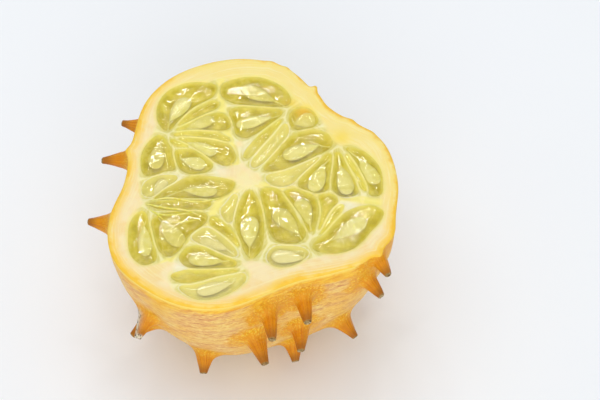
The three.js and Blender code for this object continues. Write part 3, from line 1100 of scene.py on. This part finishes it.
def unit_seed():
    """Points and faces of a seed along +X, pointed at x = -0.5 and round at x = 0.5."""
    rows, sides = 17, 20
    points = []
    for row in range(1, rows + 1):
        x = -0.5 * math.cos(math.pi * row / (rows + 1))
        # A teardrop: straight from its point, widest two thirds of the way along, and round at its end.
        ahead = x + 0.5
        half = ahead**1.05 * (1 - ahead) ** 0.5 / 0.376
        for side in range(sides):
            angle = 2 * math.pi * side / sides
            flatness = abs(math.cos(angle)) ** 0.75
            y = math.copysign(flatness, math.cos(angle)) * 0.5 * half
            z = math.sin(angle) * 0.5 * half**0.8
            points.append((x, y, z))
    points += [(-0.5, 0, 0), (0.5, 0, 0)]
    return np.array(points), row_faces(rows, sides)


def place_seed(unit, x, y, direction, length, width, depth):
    """The unit seed at its real size and place, slightly tilted."""
    thickness = 0.34 * width
    # Its sunken edges don't show, so the whole seed is a little larger than what is seen of it.
    sized = unit * [1.06 * length, 1.12 * width, thickness]
    tilt = Matrix.Rotation(math.radians(rng.uniform(-7, 7)), 3, "X")
    pitch = Matrix.Rotation(math.radians(rng.uniform(-3, 4)), 3, "Y")
    turn = Matrix.Rotation(math.radians(direction), 3, "Z") @ pitch @ tilt
    turned = sized @ np.array(turn).T
    return turned + [x, y, HEIGHT - depth - thickness / 2]


def build_seeds():
    """All the seeds as one piece."""
    unit, faces = unit_seed()
    parts = [(place_seed(unit, *row), faces) for row in SEEDS]
    piece = make_piece("seeds", *joined(parts), [seed_material()])
    add_fact(piece, "whiteness", np.repeat(rng.uniform(0, 1, len(SEEDS)), len(unit)))
    return piece


def tube(route, radii):
    """A closed round tube along a route."""
    points = []
    last = len(route) - 1
    for k, radius in enumerate(radii):
        ahead = Vector(route[min(k + 1, last)]) - Vector(route[max(k - 1, 0)])
        across = ahead.cross(Vector((0, 0, 1))).normalized()
        lift = across.cross(ahead).normalized()
        for side in range(TUBE_SIDES):
            angle = 2 * math.pi * side / TUBE_SIDES
            rim = across * math.cos(angle) + lift * math.sin(angle)
            points.append(np.array(Vector(route[k]) + rim * radius))
    points += [np.array(route[0]), np.array(route[-1])]
    return np.array(points), row_faces(len(route), TUBE_SIDES)


def build_threads():
    """A thread from each seed's point to the nearest hub."""
    parts = []
    shares = np.linspace(0, 1, 9)
    hub_height = HEIGHT - 1.0
    for x, y, direction, length, width, depth in SEEDS:
        angle = math.radians(direction)
        tip = np.array([x - math.cos(angle) * length / 2, y - math.sin(angle) * length / 2])
        hub = np.array(min(HUBS, key=lambda h: math.dist(h, tip)))
        bow = rng.uniform(-0.5, 0.5)
        across = np.array([-(hub[1] - tip[1]), hub[0] - tip[0]])
        across = across / max(np.linalg.norm(across), 1e-6)
        flat = [tip * (1 - s) + hub * s + across * bow * math.sin(math.pi * s) for s in shares]
        low = HEIGHT - depth - 0.2 * width
        heights = low * (1 - shares) + hub_height * shares
        parts.append(tube(at_height(flat, heights), 0.15 + 0.03 * shares))
    return make_piece("seed_threads", *joined(parts), [thread_material()])


def build_strands():
    """Loose yellow-green strands of tissue that lie across the jelly."""
    parts = []
    shares = np.linspace(0, 1, 25)
    middle = np.sin(math.pi * shares) ** 0.5
    for route in STRANDS:
        route = np.array(route, float)
        at = np.linspace(0, 1, len(route))
        flat = np.column_stack([smooth_lookup(shares, at, route[:, k]) for k in range(2)])
        wave = 0.14 * lumps(at_height(flat, 0), 1.5, 8)
        heights = HEIGHT + 0.3 * middle - 0.25 + wave
        parts.append(tube(at_height(flat, heights), 0.08 + 0.2 * middle))
    return make_piece("strands", *joined(parts), [strand_material()])


def over_seed(flat):
    """1 over the middle of a seed, falling to 0 away from it."""
    cover = np.zeros(len(flat))
    for x, y, direction, length, width, _ in SEEDS:
        angle = math.radians(direction)
        ahead = (flat - [x, y]) @ [math.cos(angle), math.sin(angle)] / (0.5 * length)
        aside = (flat - [x, y]) @ [-math.sin(angle), math.cos(angle)] / (0.5 * width)
        cover = np.maximum(cover, np.exp(-(ahead**2 + aside**2)))
    return cover


def jelly_lens(sac):
    """One sac's lens of jelly: closed, standing a little above the cut, bedded in its wall."""
    edge = sac.loop + outward_normals(sac.loop) * 0.05
    flat = np.vstack([edge, sac.inner])
    gap = np.concatenate([np.zeros(len(edge)), sac.gap])
    triangles = triangulate(flat, loop_edges(0, len(edge)))
    triangles = triangles[inside_loop(flat[triangles].mean(1), edge)]
    where = at_height(flat, 0)
    swell = JELLY_SWELL * min(1, sac.half_width / 2.4)
    free = smoothstep(0, 0.9, gap)
    top = HEIGHT - EDGE_DROP + (swell + EDGE_DROP) * (1 - np.exp(-gap / 0.9))
    top += (0.12 * lumps(where, 2.1, 6) + 0.05 * lumps(where, 0.8, 7)) * free
    top += 0.14 * over_seed(flat) * free
    bottom = HEIGHT - sac.cup(gap) - 0.45 * smoothstep(0, 0.6, gap) - 0.05
    # The upper and lower faces share the points of the edge.
    inner = np.arange(len(edge), len(flat))
    lower_index = np.arange(len(flat))
    lower_index[inner] += len(inner)
    points = np.vstack([at_height(flat, top), at_height(flat[inner], bottom[inner])])
    return points, np.vstack([triangles, lower_index[triangles][:, [0, 2, 1]]])


def build_jelly(sacs):
    """The jelly of all the sacs as one piece."""
    lenses = [jelly_lens(sac) for sac in sacs]
    points, faces = joined(lenses)
    flat = points[:, :2]
    sac_pale = np.repeat([sac.pale for sac in sacs], [len(own) for own, _ in lenses])
    piece = make_piece("jelly", points, faces, [jelly_material()])
    add_fact(piece, "pale", np.maximum(spots(flat, PALE_SPOTS), sac_pale))
    add_fact(piece, "golden", spots(flat, GOLDEN_SPOTS))
    add_fact(piece, "hub", hub_coordinates(flat))
    return piece


# ---------------------------------------------------------------- studio


def build_floor():
    """A plain pale surface that the half stands on."""
    size = 2500
    # A hair below the resting spot, so that the two flat faces don't share a plane.
    low = -0.05
    corners = [(-size, -size, low), (size, -size, low), (size, size, low), (-size, size, low)]
    n = Nodes("floor")
    paper = n.mix(n.noise(n.place(), 0.02, 2), (243, 247, 252), (245, 249, 253))
    shader = n.principled(Base_Color=paper, Roughness=0.7)
    floor = make_piece("floor", np.array(corners), [(0, 1, 2, 3)], [n.finish(shader)])


def add_lamp(name, place, size, power):
    """A rectangular lamp, size metres across and up, that shines at the fruit."""
    light = bpy.data.lights.new(name, "AREA")
    light.shape = "RECTANGLE"
    light.size, light.size_y = size
    light.energy = power
    lamp = bpy.data.objects.new(name, light)
    lamp.location = place
    lamp.rotation_euler = (LAMP_AIM - Vector(place)).to_track_quat("-Z", "Y").to_euler()
    bpy.context.scene.collection.objects.link(lamp)


def build_light():
    """A pale room, large soft lamps above and in front, and small ones for the wet highlights."""
    world = bpy.data.worlds.new("room")
    world.use_nodes = True
    background = world.node_tree.nodes["Background"]
    background.inputs["Color"].default_value = (1, 1, 1, 1)
    background.inputs["Strength"].default_value = 0.54
    bpy.context.scene.world = world
    add_lamp("above", (-0.1, -0.05, 1.1), (1.1, 1.1), 3.5)
    add_lamp("front_fill", (0.05, -1.0, 0.55), (0.9, 0.9), 4.6)
    add_lamp("window", (-0.04, 0.40, 0.51), (0.08, 0.016), 0.19)
    glints = {"left": (-0.13, 0.34, 0.54), "right": (0.10, 0.32, 0.58), "low": (0.05, 0.47, 0.46)}
    for name, place in glints.items():
        add_lamp("glint_" + name, place, (0.05, 0.014), 0.11)
    bpy.context.scene.view_settings.view_transform = "Standard"
    bpy.context.scene.view_settings.look = "None"


# The camera looks along +Y and down on the cut, with the fruit left of the middle.
VIEW_ELEVATION = math.radians(52)
VIEW_DISTANCE = 0.550  # in metres, like the next two
AIM_RIGHT = 0.0122
AIM_DOWN = 0.0047
LENS = 133  # in millimetres, like the sensor
SENSOR = 36


def build_camera():
    """The camera at the photograph's viewing angle."""
    forward = Vector((0, math.cos(VIEW_ELEVATION), -math.sin(VIEW_ELEVATION)))
    upward = Vector((0, math.sin(VIEW_ELEVATION), math.cos(VIEW_ELEVATION)))
    face_centre = Vector((0, 0, HEIGHT * MM))
    aim = face_centre + Vector((AIM_RIGHT, 0, 0)) - upward * AIM_DOWN
    data = bpy.data.cameras.new("camera")
    data.lens = LENS
    data.sensor_width = SENSOR
    data.clip_start = 0.01
    camera = bpy.data.objects.new("camera", data)
    camera.location = aim - forward * VIEW_DISTANCE
    camera.rotation_euler = forward.to_track_quat("-Z", "Y").to_euler()
    bpy.context.scene.collection.objects.link(camera)
    bpy.context.scene.camera = camera


# ---------------------------------------------------------------- the whole

build_camera()
build_light()
build_floor()

horns = make_horns()
sacs = [Sac(loop) for loop in grown(flat_loops(SAC_FLOOR))]

body = build_body(horns, sacs)
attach(body, BODY)
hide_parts(NODE)

seeds = build_seeds()
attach(seeds, BODY)

threads = build_threads()
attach(threads, BODY)

strands = build_strands()
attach(strands, BODY)

jelly = build_jelly(sacs)
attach(jelly, BODY)
